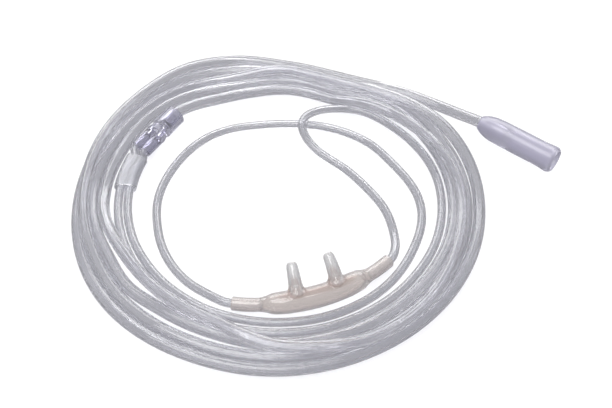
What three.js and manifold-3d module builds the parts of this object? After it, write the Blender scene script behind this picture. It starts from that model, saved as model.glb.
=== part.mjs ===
// Nasal oxygen cannula, coiled as it lies on a table. Millimetres, +Z up.
//
// The layout plane has the coil's centre at its origin. The fittings and the tubes' free stretches
// are placed there, and the whole layout is then turned so that the connector's mouth faces +X.

import * as THREE from "three";
import { mergeVertices } from "three/addons/utils/BufferGeometryUtils.js";
import Module from "manifold-3d";

// Tubes
const SUPPLY_OD = 5.2;
const HEADSET_OD = 3.7;
const TUBE_FIT = 0.3; // radial room between a tube and the socket it sits in
const END_GAP = 0.3; // room between a tube's cut end and what it meets
const STRAIGHT_OUT = 1.5; // how far a tube runs straight on out of its socket
const FLOOR_LIFT = 0.05; // a lying tube's clearance from the surface

// Coil of supply tube: turns side by side on the surface, and one more turn lying on them
const COIL_OUTER_RADIUS = 89.1;
const COIL_FLOOR_TURNS = 3;
const TURN_PITCH = 5.3;
const TOP_TURN_LANE = 1.5; // lanes in from the outermost turn
const TOP_TURN_HEIGHT = 7.15; // height of the upper turn's centre
const COIL_SEGMENTS = 80;

// Nasal prong piece
const FACE_SPAN = 66.8; // straight distance between the two tube sockets' mouths
const FACE_BOW = 8.5; // how far the middle stands off that straight line
const FACE_RADIUS = 4.6;
const FACE_WALL = 1.1;
const FACE_SOCKET_RADIUS = 2.8;
const FACE_SOCKET_LENGTH = 12.5;
const FACE_SHOULDER = 5; // length over which a socket widens into the body
const FACE_END_HEIGHT = 3.1; // height of the sockets' centres above the surface
const PRONG_SPACING = 16.8;
const PRONG_ROOT_RADIUS = 2.75;
const PRONG_TIP_RADIUS = 2.3;
const PRONG_FLARE = 1.3; // extra radius of the fillet at a prong's root
const PRONG_BORE_RADIUS = 1.6;
const PRONG_REACH = 11.3; // how far a prong's tip lies behind the body's centre line
const PRONG_RISE = 10.4; // how far it lies above it

// Yoke
const YOKE_LENGTH = 25;
const YOKE_COLLAR_RADIUS = 4.8;
const YOKE_COLLAR_LENGTH = 10.5;
const YOKE_WAIST_RADIUS = 4.1;
const YOKE_BULGE_RADIUS = 4.9;
const YOKE_BULGE_AT = 14.5; // distance from the supply end
const YOKE_TWIN_RADIUS = 2.75;
const YOKE_TWIN_SPACING = 4.9;
const YOKE_SUPPLY_DEPTH = 8.5;
const YOKE_TWIN_DEPTH = 8;
const YOKE_PASSAGE_RADIUS = 1.1;
const YOKE_TILT = 4; // degrees, twin end down

// Slide sleeve, and the arc along which it runs
const SLIDE_ARC_RADIUS = 66.9;
const SLIDE_START = 161.5; // degrees round the coil's centre
const SLIDE_LENGTH = 18;
const SLIDE_WALL = 0.65;
const SLIDE_TUBE_SPACING = 4.1;
const SLIDE_LEAD_IN = 1.6; // degrees of the arc that the tubes follow before they enter the sleeve
const SLIDE_TRAVEL = 28; // degrees that the sleeve can move away from the yoke

// Oxygen connector
const CONNECTOR_LENGTH = 38.5;
const CONNECTOR_TUBE_END_RADIUS = 3.4;
const CONNECTOR_BARREL_RADIUS = 5.75;
const CONNECTOR_RIM_RADIUS = 6.05;
const CONNECTOR_TUBE_DEPTH = 13.5;
const CONNECTOR_STOP = 1.2; // thickness of the ledge that stops the tube
const CONNECTOR_STOP_RADIUS = 1.9;
const CONNECTOR_BORE_RADIUS = 3.8;
const CONNECTOR_MOUTH_RADIUS = 4.4;

// Places in the layout plane: x, y in millimetres, headings in degrees
const LAYOUT_TURN = 38;
const FACE_PLACE = { x: 14.4, y: -45.9, heading: 18.3 };
const YOKE_PLACE = { x: -47.9, y: 45.6, heading: -125 };
const CONNECTOR_PLACE = { x: 92.0, y: 40.3, heading: -LAYOUT_TURN };

const UP = new THREE.Vector3(0, 0, 1);
const radians = THREE.MathUtils.degToRad;
const headsetZ = HEADSET_OD / 2 + FLOOR_LIFT;
const supplyZ = SUPPLY_OD / 2 + FLOOR_LIFT;
const slideInnerHeight = HEADSET_OD + 2 * TUBE_FIT;
const slideZ = slideInnerHeight / 2 + SLIDE_WALL;

const wasm = await Module();
wasm.setup();

// A closed three.js geometry as a manifold solid
function solid(geometry) {
  const bare = geometry.clone();
  bare.deleteAttribute("normal");
  bare.deleteAttribute("uv");
  const merged = mergeVertices(bare, 1e-4);
  return new wasm.Manifold(new wasm.Mesh({
    numProp: 3,
    vertProperties: new Float32Array(merged.attributes.position.array),
    triVerts: new Uint32Array(merged.index.array),
  }));
}

// A manifold solid as a three.js geometry
function geometryOf(manifold) {
  const mesh = manifold.getMesh();
  const geometry = new THREE.BufferGeometry();
  geometry.setAttribute("position", new THREE.BufferAttribute(mesh.vertProperties, 3));
  geometry.setIndex(new THREE.BufferAttribute(mesh.triVerts, 1));
  geometry.computeVertexNormals();
  return geometry;
}

// Points [along, radius] turned about +X. A profile that ends on the axis or closes on itself is solid.
function turned(profile, segments) {
  const points = profile.map(([along, radius]) => new THREE.Vector2(radius, along));
  const geometry = new THREE.LatheGeometry(points, segments);
  geometry.rotateZ(-Math.PI / 2);
  return geometry;
}

// A straight rod between two points of a fitting
function rod(from, to, radius, segments = 16) {
  const length = from.distanceTo(to);
  const geometry = new THREE.CylinderGeometry(radius, radius, length, segments);
  const along = to.clone().sub(from).normalize();
  geometry.applyQuaternion(new THREE.Quaternion().setFromUnitVectors(new THREE.Vector3(0, 1, 0), along));
  geometry.translate(...from.clone().add(to).multiplyScalar(0.5).toArray());
  return geometry;
}

// Bends a shape turned about +X, whose x runs from 0 to the curve's length, along that curve
function bent(geometry, curve) {
  const length = curve.getLength();
  const position = geometry.attributes.position;
  for (let i = 0; i < position.count; i += 1) {
    const share = THREE.MathUtils.clamp(position.getX(i) / length, 0, 1);
    const centre = curve.getPointAt(share);
    const along = curve.getTangentAt(share);
    const side = new THREE.Vector3().crossVectors(UP, along).normalize();
    const over = new THREE.Vector3().crossVectors(along, side);
    centre.addScaledVector(side, position.getY(i)).addScaledVector(over, position.getZ(i));
    position.setXYZ(i, ...centre.toArray());
  }
  geometry.computeVertexNormals();
  return geometry;
}

// The closed outline of a round section with a flat facet at its foot
function roundSection(diameter, sides) {
  const section = new THREE.Shape();
  for (let i = 0; i < sides; i += 1) {
    const angle = (2 * Math.PI * (i + 0.5)) / sides;
    const x = (diameter / 2) * Math.cos(angle);
    const y = (diameter / 2) * Math.sin(angle);
    if (i === 0) section.moveTo(x, y);
    else section.lineTo(x, y);
  }
  section.closePath();
  return section;
}

// A smooth route that is stepped through at its own points, so that close points give short steps
class Route extends THREE.CatmullRomCurve3 {
  getPointAt(share, target) {
    return this.getPoint(share, target);
  }

  getTangentAt(share, target) {
    return this.getTangent(share, target);
  }
}

// A plain tube's outer form along a route through the points, with a section at each of them
function tubeAlong(points, diameter, sides) {
  const extrudePath = new Route(points, false, "centripetal");
  const steps = points.length - 1;
  return new THREE.ExtrudeGeometry(roundSection(diameter, sides), { steps, bevelEnabled: false, extrudePath });
}

function polar(radius, degrees, z) {
  return new THREE.Vector3(radius * Math.cos(radians(degrees)), radius * Math.sin(radians(degrees)), z);
}

// The layout of the fittings, as empty groups that the routes below measure from
function fittingGroup({ x, y, heading }, z, tilt = 0) {
  const group = new THREE.Group();
  group.position.set(x, y, z);
  group.rotation.set(0, radians(tilt), radians(heading), "ZYX");
  group.updateMatrix();
  return group;
}

const yokeAxisZ = YOKE_BULGE_RADIUS + FLOOR_LIFT + YOKE_BULGE_AT * Math.sin(radians(YOKE_TILT));
const faceGroup = fittingGroup(FACE_PLACE, 0);
const yokeGroup = fittingGroup(YOKE_PLACE, yokeAxisZ, YOKE_TILT);
const connectorGroup = fittingGroup(CONNECTOR_PLACE, CONNECTOR_RIM_RADIUS);

function inLayout(group, x, y, z) {
  return new THREE.Vector3(x, y, z).applyMatrix4(group.matrix);
}

// Centre line of the prong piece: a bow that lies back at its ends, its middle carried on its own belly
const faceCurve = (() => {
  const half = FACE_SPAN / 2;
  const bowRadius = (half * half + FACE_BOW * FACE_BOW) / (2 * FACE_BOW);
  const reach = Math.asin(half / bowRadius);
  const bodyHeight = FACE_RADIUS + FLOOR_LIFT;
  const points = [];
  for (let i = -6; i <= 6; i += 1) {
    const turn = (reach * i) / 6;
    const drop = (bodyHeight - FACE_END_HEIGHT) * THREE.MathUtils.smoothstep(Math.abs(i), 2, 6);
    const y = bowRadius - FACE_BOW - bowRadius * Math.cos(turn);
    points.push(new THREE.Vector3(bowRadius * Math.sin(turn), y, bodyHeight - drop));
  }
  return new THREE.CatmullRomCurve3(points);
})();

function nasalProngPiece() {
  const length = faceCurve.getLength();
  const socketBore = HEADSET_OD / 2 + TUBE_FIT;
  const hollow = FACE_RADIUS - FACE_WALL;
  const shoulder = FACE_SOCKET_LENGTH + FACE_SHOULDER;
  const outer = [
    [0, FACE_SOCKET_RADIUS - 0.3],
    [0.3, FACE_SOCKET_RADIUS],
    [FACE_SOCKET_LENGTH / 2, FACE_SOCKET_RADIUS],
    [FACE_SOCKET_LENGTH, FACE_SOCKET_RADIUS],
    [FACE_SOCKET_LENGTH + FACE_SHOULDER / 3, FACE_SOCKET_RADIUS + 0.35 * (FACE_RADIUS - FACE_SOCKET_RADIUS)],
    [FACE_SOCKET_LENGTH + (2 * FACE_SHOULDER) / 3, FACE_SOCKET_RADIUS + 0.7 * (FACE_RADIUS - FACE_SOCKET_RADIUS)],
    [shoulder, FACE_RADIUS - 0.2],
    [shoulder + 4, FACE_RADIUS],
    [length / 2 - 6, FACE_RADIUS],
    [length / 2, FACE_RADIUS],
  ];
  const inner = [
    [0, socketBore],
    [FACE_SOCKET_LENGTH / 2, socketBore],
    [FACE_SOCKET_LENGTH, socketBore],
    [FACE_SOCKET_LENGTH + 0.4, socketBore - 0.6],
    [shoulder, hollow - 0.5],
    [shoulder + 5, hollow],
    [length / 2 - 6, hollow],
    [length / 2, hollow],
  ];
  const mirrored = (half) => [...half, ...half.slice(0, -1).reverse().map(([along, r]) => [length - along, r])];
  const loop = [...mirrored(outer), ...mirrored(inner).reverse()];
  let body = solid(bent(turned([...loop, loop[0]], 20), faceCurve));
  const prongs = [-1, 1].map(prongCurve);
  for (const curve of prongs) body = body.add(solid(bent(turned(prongOuter(curve), 16), curve)));
  for (const curve of prongs) body = body.subtract(solid(bent(turned(prongBore(curve), 12), curve)));
  return geometryOf(body);
}

// Each prong leaves the body's centre line steeply and curves back towards its tip
function prongCurve(side) {
  const length = faceCurve.getLength();
  const root = faceCurve.getPointAt(0.5 + (side * PRONG_SPACING) / 2 / length);
  const tip = root.clone().add(new THREE.Vector3(-side * 0.9, PRONG_REACH, PRONG_RISE));
  const elbow = root.clone().add(new THREE.Vector3(0, 0.27 * PRONG_REACH, 0.68 * PRONG_RISE));
  return new THREE.QuadraticBezierCurve3(root, elbow, tip);
}

function prongOuter(curve) {
  const length = curve.getLength();
  const start = FACE_RADIUS - FACE_WALL / 2; // inside the body's wall
  const profile = [[start, 0], [start, PRONG_ROOT_RADIUS + PRONG_FLARE]];
  for (const [out, flare] of [[1.1, 0.5], [2.1, 0.15], [3.4, 0]]) {
    profile.push([FACE_RADIUS + out, PRONG_ROOT_RADIUS + flare * PRONG_FLARE]);
  }
  profile.push([0.75 * length, 0.4 * PRONG_ROOT_RADIUS + 0.6 * PRONG_TIP_RADIUS]);
  profile.push([length - 0.6, PRONG_TIP_RADIUS], [length, PRONG_TIP_RADIUS - 0.3], [length, 0]);
  return profile;
}

function prongBore(curve) {
  const length = curve.getLength();
  const start = FACE_RADIUS - FACE_WALL - 1.2; // inside the body's hollow
  const past = 1; // beyond the tip
  const profile = [[start, 0]];
  for (let i = 0; i <= 4; i += 1) profile.push([start + ((length - start) * i) / 4, PRONG_BORE_RADIUS]);
  profile.push([length + past, PRONG_BORE_RADIUS], [length + past, 0]);
  return profile;
}

function yoke() {
  const bulgeEnd = YOKE_BULGE_AT + 2.4;
  const round = turned([
    [0, 0],
    [0, YOKE_COLLAR_RADIUS - 0.3],
    [0.3, YOKE_COLLAR_RADIUS],
    [YOKE_COLLAR_LENGTH - 0.4, YOKE_COLLAR_RADIUS],
    [YOKE_COLLAR_LENGTH, YOKE_COLLAR_RADIUS - 0.3],
    [YOKE_COLLAR_LENGTH + 0.8, YOKE_WAIST_RADIUS],
    [YOKE_BULGE_AT - 1.6, YOKE_BULGE_RADIUS - 0.35],
    [YOKE_BULGE_AT - 0.4, YOKE_BULGE_RADIUS],
    [YOKE_BULGE_AT + 0.9, YOKE_BULGE_RADIUS - 0.2],
    [YOKE_BULGE_AT + 1.8, 0.75 * YOKE_BULGE_RADIUS],
    [bulgeEnd, 0.4 * YOKE_BULGE_RADIUS],
    [bulgeEnd, 0],
  ], 24);
  let body = solid(round);
  const twins = [-1, 1].map((side) => (side * YOKE_TWIN_SPACING) / 2);
  const at = (x, y) => new THREE.Vector3(x, y, 0);
  const supplyEnd = YOKE_SUPPLY_DEPTH;
  const twinEnd = YOKE_LENGTH - YOKE_TWIN_DEPTH;
  for (const y of twins) {
    body = body.add(solid(rod(at(YOKE_BULGE_AT, y), at(YOKE_LENGTH, y), YOKE_TWIN_RADIUS, 20)));
  }
  const supplyBore = rod(at(-1, 0), at(supplyEnd, 0), SUPPLY_OD / 2 + TUBE_FIT, 20);
  body = body.subtract(solid(supplyBore));
  for (const y of twins) {
    body = body.subtract(solid(rod(at(twinEnd, y), at(YOKE_LENGTH + 1, y), HEADSET_OD / 2 + TUBE_FIT, 16)));
    body = body.subtract(solid(rod(at(supplyEnd - 1, 0.3 * y), at(twinEnd + 1, y), YOKE_PASSAGE_RADIUS, 10)));
  }
  return geometryOf(body);
}

// The slide's section: a flat oval tube that both headset tubes pass through side by side.
// The section's x runs up and its y across the arc, as the extrusion lays them.
function slideOutline(radius, halfSpacing) {
  const points = [];
  for (const side of [1, -1]) {
    for (let i = 0; i <= 6; i += 1) {
      const angle = Math.PI * (i / 6) + (side > 0 ? 0 : Math.PI);
      points.push(new THREE.Vector2(radius * Math.cos(angle), side * halfSpacing + radius * Math.sin(angle)));
    }
  }
  return points;
}

function slideSleeve() {
  const sweep = SLIDE_LENGTH / SLIDE_ARC_RADIUS;
  const steps = 8;
  const points = [];
  for (let i = 0; i <= steps; i += 1) {
    points.push(polar(SLIDE_ARC_RADIUS, SLIDE_START + THREE.MathUtils.radToDeg((sweep * i) / steps), slideZ));
  }
  const bore = slideInnerHeight / 2;
  const section = new THREE.Shape(slideOutline(bore + SLIDE_WALL, SLIDE_TUBE_SPACING / 2));
  section.holes.push(new THREE.Path(slideOutline(bore, SLIDE_TUBE_SPACING / 2)));
  const extrudePath = new THREE.CatmullRomCurve3(points);
  return new THREE.ExtrudeGeometry(section, { steps, bevelEnabled: false, extrudePath });
}

function oxygenConnector() {
  const tubeBore = SUPPLY_OD / 2 + TUBE_FIT;
  const stop = CONNECTOR_TUBE_DEPTH + END_GAP;
  const swell = CONNECTOR_BARREL_RADIUS - CONNECTOR_TUBE_END_RADIUS;
  const rim = CONNECTOR_LENGTH;
  const outer = [
    [0, CONNECTOR_TUBE_END_RADIUS - 0.15],
    [0.5, CONNECTOR_TUBE_END_RADIUS + 0.1],
    [2.5, CONNECTOR_TUBE_END_RADIUS + 0.45 * swell],
    [5, CONNECTOR_TUBE_END_RADIUS + 0.75 * swell],
    [8, CONNECTOR_TUBE_END_RADIUS + 0.92 * swell],
    [12, CONNECTOR_BARREL_RADIUS - 0.1],
    [rim - 6, CONNECTOR_BARREL_RADIUS],
    [rim - 3.5, CONNECTOR_RIM_RADIUS - 0.1],
    [rim - 2, CONNECTOR_RIM_RADIUS],
    [rim - 0.8, CONNECTOR_RIM_RADIUS - 0.3],
    [rim, CONNECTOR_RIM_RADIUS - 1],
  ];
  const inner = [
    [rim, CONNECTOR_MOUTH_RADIUS],
    [rim - 2.5, CONNECTOR_BORE_RADIUS + 0.25],
    [stop + CONNECTOR_STOP + 0.6, CONNECTOR_BORE_RADIUS],
    [stop + CONNECTOR_STOP, CONNECTOR_STOP_RADIUS],
    [stop, CONNECTOR_STOP_RADIUS],
    [stop, tubeBore],
    [0, tubeBore],
  ];
  const loop = [...outer, ...inner];
  return turned([...loop, loop[0]], 28);
}

// The coil's section: the turns on the surface and the turn lying in the hollow between two of them
function supplyCoil() {
  const tube = SUPPLY_OD / 2;
  const outermost = COIL_OUTER_RADIUS - tube;
  const flat = 15; // half the angle of the facet that a turn rests on
  const floorTurn = (lane) => {
    return new THREE.Vector2(outermost - lane * TURN_PITCH, tube * Math.cos(radians(flat)));
  };
  const topTurn = new THREE.Vector2(outermost - TOP_TURN_LANE * TURN_PITCH, TOP_TURN_HEIGHT);
  const along = (centre, angles) => angles.map((angle) => {
    return new THREE.Vector2(Math.cos(radians(angle)), Math.sin(radians(angle))).multiplyScalar(tube).add(centre);
  });
  const arc = (centre, from, to, count) => {
    return along(centre, Array.from({ length: count + 1 }, (_, i) => from + ((to - from) * i) / count));
  };
  const valley = 28; // degrees from the horizontal at which neighbouring turns' outlines meet
  const innermost = COIL_FLOOR_TURNS - 1;
  const profile = [];
  for (let lane = innermost; lane >= 0; lane -= 1) {
    const from = lane === innermost ? -165 : -180 + valley;
    const to = lane === 0 ? -15 : -valley;
    const under = [-90 - flat, -90 + flat];
    const angles = [from, (from + under[0]) / 2, ...under, (under[1] + to) / 2, to];
    profile.push(...along(floorTurn(lane), angles));
  }
  profile.push(...arc(floorTurn(0), 15, 180 - 2 * valley, 3));
  profile.push(...arc(topTurn, 0, 180, 6));
  profile.push(...arc(floorTurn(innermost), 2 * valley, 165, 3));
  profile.push(profile[0].clone());
  const geometry = new THREE.LatheGeometry(profile, COIL_SEGMENTS);
  geometry.rotateX(Math.PI / 2);
  return geometry;
}

// The space that the coil takes up, with room round it, which the two ends of supply tube stop short of
function coilSpace() {
  const inner = COIL_OUTER_RADIUS - SUPPLY_OD - (COIL_FLOOR_TURNS - 1) * TURN_PITCH - END_GAP;
  const outer = COIL_OUTER_RADIUS + END_GAP;
  const top = 3 * SUPPLY_OD;
  const profile = [[inner, -1], [outer, -1], [outer, top], [inner, top], [inner, -1]];
  const geometry = new THREE.LatheGeometry(profile.map(([r, z]) => new THREE.Vector2(r, z)), COIL_SEGMENTS);
  geometry.rotateX(Math.PI / 2);
  return solid(geometry);
}

// Routes, in the layout plane: x, y and the height of the tube's centre
const LEFT_ROUTE = [
  [-52.9, -37.0, 2.2], [-45.6, -45.6, headsetZ], [-37.0, -52.8, headsetZ], [-27.3, -58.5, headsetZ],
  [-16.7, -62.3, headsetZ], [-5.6, -64.3, headsetZ], [5.6, -64.4, headsetZ], [16.8, -62.7, headsetZ],
  [27.5, -59.0, headsetZ], [37.3, -53.4, headsetZ], [45.8, -45.9, headsetZ], [52.5, -36.9, headsetZ],
  [57.5, -26.9, headsetZ], [60.9, -16.3, headsetZ], [61.6, -6.5, headsetZ], [60.0, 2.0, headsetZ],
  [55.9, 10.9, headsetZ], [49.7, 20.4, headsetZ], [41.2, 30.8, headsetZ], [32.3, 37.0, headsetZ],
  [20.9, 41.5, headsetZ], [9.3, 43.3, headsetZ], [-1.0, 43.4, headsetZ], [-11.5, 42.4, headsetZ],
  [-22.9, 40.0, headsetZ], [-32.7, 34.9, headsetZ], [-40.8, 26.7, headsetZ], [-46.6, 17.0, headsetZ],
  [-50.6, 6.3, headsetZ], [-52.1, -3.5, headsetZ], [-51.3, -14.0, headsetZ], [-48.2, -26.6, headsetZ],
  [-42.4, -37.8, headsetZ], [-34.8, -46.3, 2.1], [-26.3, -52.3, 2.6],
];
const RIGHT_ROUTE = [
  [-56.5, -39.5, 2.2], [-48.8, -48.8, headsetZ], [-39.6, -56.6, headsetZ], [-29.2, -62.6, headsetZ],
  [-17.9, -66.8, headsetZ], [-6.0, -69.0, headsetZ], [6.1, -69.2, headsetZ], [18.0, -67.4, headsetZ],
  [29.6, -63.4, headsetZ], [40.3, -57.5, headsetZ], [49.8, -49.8, headsetZ], [57.8, -40.5, headsetZ],
  [64.2, -30.0, headsetZ], [68.5, -18.4, headsetZ], [70.6, -6.2, headsetZ], [70.4, 6.2, headsetZ],
  [67.9, 17.5, headsetZ], [63.0, 28.0, headsetZ], [56.5, 37.0, headsetZ], [48.5, 44.8, 2.0],
  [39.5, 50.6, 2.3], [30.3, 52.2, 3.0], [23.0, 50.8, 4.2], [16.4, 48.0, 5.3],
  [11.8, 44.0, 5.95], [10.2, 39.3, 5.9], [11.2, 34.3, 5.1], [14.4, 28.8, 4.0],
  [18.8, 24.1, 3.0], [25.0, 19.3, 2.3], [30.2, 14.9, headsetZ], [35.7, 8.5, headsetZ],
  [40.7, 1.7, headsetZ], [45.1, -5.6, headsetZ], [47.7, -12.7, headsetZ], [49.0, -19.7, headsetZ],
  [49.4, -26.0, 2.3], [48.6, -31.0, 2.8],
];
const LEAD_ROUTE = [
  [-42.4, 51.4, 5.0], [-37.6, 54.6, 4.2], [-32.2, 57.3, 3.4], [-22.3, 61.3, supplyZ], [-11.3, 64.1, supplyZ],
  [0.0, 65.1, supplyZ], [11.3, 64.5, supplyZ], [20.8, 63.4, supplyZ], [29.4, 63.0, supplyZ],
  [38.4, 62.4, supplyZ], [47.4, 60.6, supplyZ],
];
const TAIL_ROUTE = [
  [56.8, 63.8, supplyZ], [66.0, 59.2, supplyZ], [74.0, 54.4, 2.9], [80.5, 49.6, 3.8], [86.5, 44.7, 5.1],
];

const points = (route) => route.map((place) => new THREE.Vector3(...place));

// Where a headset tube sits in the yoke and in the prong piece, and the arc it follows through the slide
function headsetEnds(side) {
  const y = (side * YOKE_TWIN_SPACING) / 2;
  const radius = SLIDE_ARC_RADIUS - (side * SLIDE_TUBE_SPACING) / 2;
  const slideEnd = SLIDE_START + THREE.MathUtils.radToDeg(SLIDE_LENGTH / SLIDE_ARC_RADIUS) + SLIDE_TRAVEL;
  const inYoke = [YOKE_TWIN_DEPTH - END_GAP, YOKE_TWIN_DEPTH / 2, -STRAIGHT_OUT]
    .map((depth) => inLayout(yokeGroup, YOKE_LENGTH - depth, y, 0));
  const throughSlide = [];
  const arcStart = SLIDE_START - SLIDE_LEAD_IN;
  const arcSteps = 8;
  for (let i = 0; i <= arcSteps; i += 1) {
    throughSlide.push(polar(radius, arcStart + ((slideEnd - arcStart) * i) / arcSteps, slideZ));
  }
  return [...inYoke, ...throughSlide];
}

// A point on the prong piece's centre line, or straight out of its socket where the depth is negative
function faceSocket(side, depth) {
  const inward = Math.max(depth, 0) / faceCurve.getLength();
  const share = side < 0 ? inward : 1 - inward;
  const point = faceCurve.getPointAt(share);
  if (depth < 0) point.addScaledVector(faceCurve.getTangentAt(share), -side * depth);
  return point.applyMatrix4(faceGroup.matrix);
}

function headsetTube(yokeSide, route, faceSide) {
  const inFace = [-STRAIGHT_OUT, FACE_SOCKET_LENGTH / 3, (2 * FACE_SOCKET_LENGTH) / 3, FACE_SOCKET_LENGTH - END_GAP]
    .map((depth) => faceSocket(faceSide, depth));
  return tubeAlong([...headsetEnds(yokeSide), ...points(route), ...inFace], HEADSET_OD, 8);
}

function supplyLead() {
  const inYoke = [YOKE_SUPPLY_DEPTH - END_GAP, -STRAIGHT_OUT].map((depth) => inLayout(yokeGroup, depth, 0, 0));
  const whole = solid(tubeAlong([...inYoke, ...points(LEAD_ROUTE)], SUPPLY_OD, 10));
  return geometryOf(whole.subtract(coilSpace()));
}

function supplyTail() {
  const inConnector = [-STRAIGHT_OUT, CONNECTOR_TUBE_DEPTH].map((depth) => inLayout(connectorGroup, depth, 0, 0));
  const whole = solid(tubeAlong([...points(TAIL_ROUTE), ...inConnector], SUPPLY_OD, 10));
  return geometryOf(whole.subtract(coilSpace()));
}

function named(name, geometry, color, roughness, opacity = 1) {
  const material = new THREE.MeshStandardMaterial({
    color, roughness, metalness: 0, opacity, transparent: opacity < 1,
  });
  const mesh = new THREE.Mesh(geometry, material);
  mesh.name = name;
  return mesh;
}

faceGroup.add(named("nasal_prong_piece", nasalProngPiece(), 0xcfc2bd, 0.35));
yokeGroup.add(named("yoke", yoke(), 0xa9a7c2, 0.15, 0.6));
connectorGroup.add(named("oxygen_connector", oxygenConnector(), 0xb4b1c8, 0.4));
const slide = named("slide_sleeve", slideSleeve(), 0xc9ccd6, 0.45, 0.7);
const tubing = new THREE.Group();
tubing.add(
  named("supply_coil", supplyCoil(), 0xc4c5d2, 0.2),
  named("supply_lead", supplyLead(), 0xc4c5d2, 0.2),
  named("supply_tail", supplyTail(), 0xc4c5d2, 0.2),
  named("headset_tube_left", headsetTube(1, LEFT_ROUTE, -1), 0xd0d2da, 0.2),
  named("headset_tube_right", headsetTube(-1, RIGHT_ROUTE, 1), 0xd0d2da, 0.2),
);

// The origin lies under the middle of the fittings' box, on the surface that everything lies on
const fittings = new THREE.Group();
fittings.add(faceGroup, yokeGroup, connectorGroup, slide);
const layout = new THREE.Group();
layout.add(fittings, tubing);
layout.rotation.z = radians(LAYOUT_TURN);
const part = new THREE.Group();
part.add(layout);
part.updateMatrixWorld(true);
const box = new THREE.Box3().setFromObject(fittings, true);
const middle = box.getCenter(new THREE.Vector3());
layout.position.set(-middle.x, -middle.y, -box.min.z);

export default part;
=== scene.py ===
"""Nasal oxygen cannula, coiled on a pale surface.

Lengths in the classes below are millimetres in the layout plane, whose origin is the coil's centre.
The layout is turned and shifted into the row frame, in metres, by the Layout class.
"""

from __future__ import annotations

import logging
import math
from dataclasses import dataclass
from enum import Enum

import bpy
import numpy as np
from mathutils import Matrix, Vector


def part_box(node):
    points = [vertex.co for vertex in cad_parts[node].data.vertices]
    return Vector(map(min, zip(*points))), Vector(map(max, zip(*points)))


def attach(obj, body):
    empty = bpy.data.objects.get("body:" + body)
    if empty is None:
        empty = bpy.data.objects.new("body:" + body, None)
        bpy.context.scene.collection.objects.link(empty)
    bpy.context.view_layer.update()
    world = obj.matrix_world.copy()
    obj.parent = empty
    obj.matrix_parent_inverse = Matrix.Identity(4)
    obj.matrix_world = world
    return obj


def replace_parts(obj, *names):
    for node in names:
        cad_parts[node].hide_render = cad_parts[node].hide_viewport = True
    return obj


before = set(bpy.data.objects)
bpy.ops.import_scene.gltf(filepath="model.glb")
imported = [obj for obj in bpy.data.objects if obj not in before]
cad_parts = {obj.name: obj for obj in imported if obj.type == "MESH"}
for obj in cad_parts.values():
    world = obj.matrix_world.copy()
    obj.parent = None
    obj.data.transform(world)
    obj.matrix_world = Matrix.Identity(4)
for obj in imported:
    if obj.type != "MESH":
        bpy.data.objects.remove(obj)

LOG = logging.getLogger("cannula")
MM = 0.001
FIXED_BODY = "cannula"
SLIDE_BODY = "slide"

# How far a piece stands clear of the surface, in millimetres.
REST_GAP = 0.05
# The radius at which a turned form closes on its axis, in millimetres.
NEAR_AXIS = 0.01


class Side(Enum):
    """Which of the two headset tubes, sockets or prongs: the wearer's side as the photograph shows it."""

    LEFT = -1
    RIGHT = 1


class Lumen(Enum):
    """The shape of a tube's bore."""

    ROUND = 0
    STAR = 6


def distances(path: np.ndarray) -> np.ndarray:
    """Give how far along a path each of its points lies."""
    return np.concatenate([[0.0], np.cumsum(np.linalg.norm(np.diff(path, axis=0), axis=1))])


def run_length(path: np.ndarray) -> float:
    """Give the length of a path."""
    return float(distances(path)[-1])


def spline(points: np.ndarray, step: float) -> np.ndarray:
    """Run one smooth curve through the points and walk along it in equal steps.

    Args:
        points: The places the curve passes through, one row each.
        step: The distance between neighbouring results.

    Returns:
        The places along the curve, ends included.
    """
    points = np.asarray(points, float)
    gaps = np.linalg.norm(np.diff(points, axis=0), axis=1)
    knots = np.concatenate([[0.0], np.cumsum(gaps)])
    count = len(points)
    system = np.eye(count)
    target = np.zeros_like(points)
    for i in range(1, count - 1):
        before, after = gaps[i - 1], gaps[i]
        system[i, i - 1 : i + 2] = before, 2 * (before + after), after
        target[i] = 6 * ((points[i + 1] - points[i]) / after - (points[i] - points[i - 1]) / before)
    bend = np.linalg.solve(system, target)

    def at(where: np.ndarray) -> np.ndarray:
        """Walk along the curve.

        Args:
            where: Distances along the chords between the points.

        Returns:
            The curve's places there.
        """
        span = np.clip(np.searchsorted(knots, where, side="right") - 1, 0, count - 2)
        width = gaps[span][:, None]
        left = (where - knots[span])[:, None]
        right = width - left
        curve = bend[span] * right**3 + bend[span + 1] * left**3
        line = (points[span] - bend[span] * width**2 / 6) * right
        line = line + (points[span + 1] - bend[span + 1] * width**2 / 6) * left
        return curve / (6 * width) + line / width

    fine = at(np.linspace(0, knots[-1], count * 40))
    run = distances(fine)
    steps = max(2, round(run[-1] / step))
    even = np.linspace(0, run[-1], steps + 1)
    return np.stack([np.interp(even, run, fine[:, k]) for k in range(fine.shape[1])], axis=1)


def resting(path: np.ndarray, diameter: float) -> np.ndarray:
    """Lift whatever part of a tube's centre line would sink into the surface."""
    path[:, 2] = np.maximum(path[:, 2], diameter / 2 + REST_GAP)
    return path


def frames(path: np.ndarray) -> tuple[np.ndarray, np.ndarray, np.ndarray]:
    """Give the unit vectors at each point of a path that never climbs steeply.

    Args:
        path: The places along it.

    Returns:
        The directions along the path, sideways and upwards.
    """
    along = np.gradient(path, axis=0)
    along /= np.linalg.norm(along, axis=1, keepdims=True)
    side = np.cross([0.0, 0.0, 1.0], along)
    side /= np.linalg.norm(side, axis=1, keepdims=True)
    return along, side, np.cross(along, side)


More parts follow.
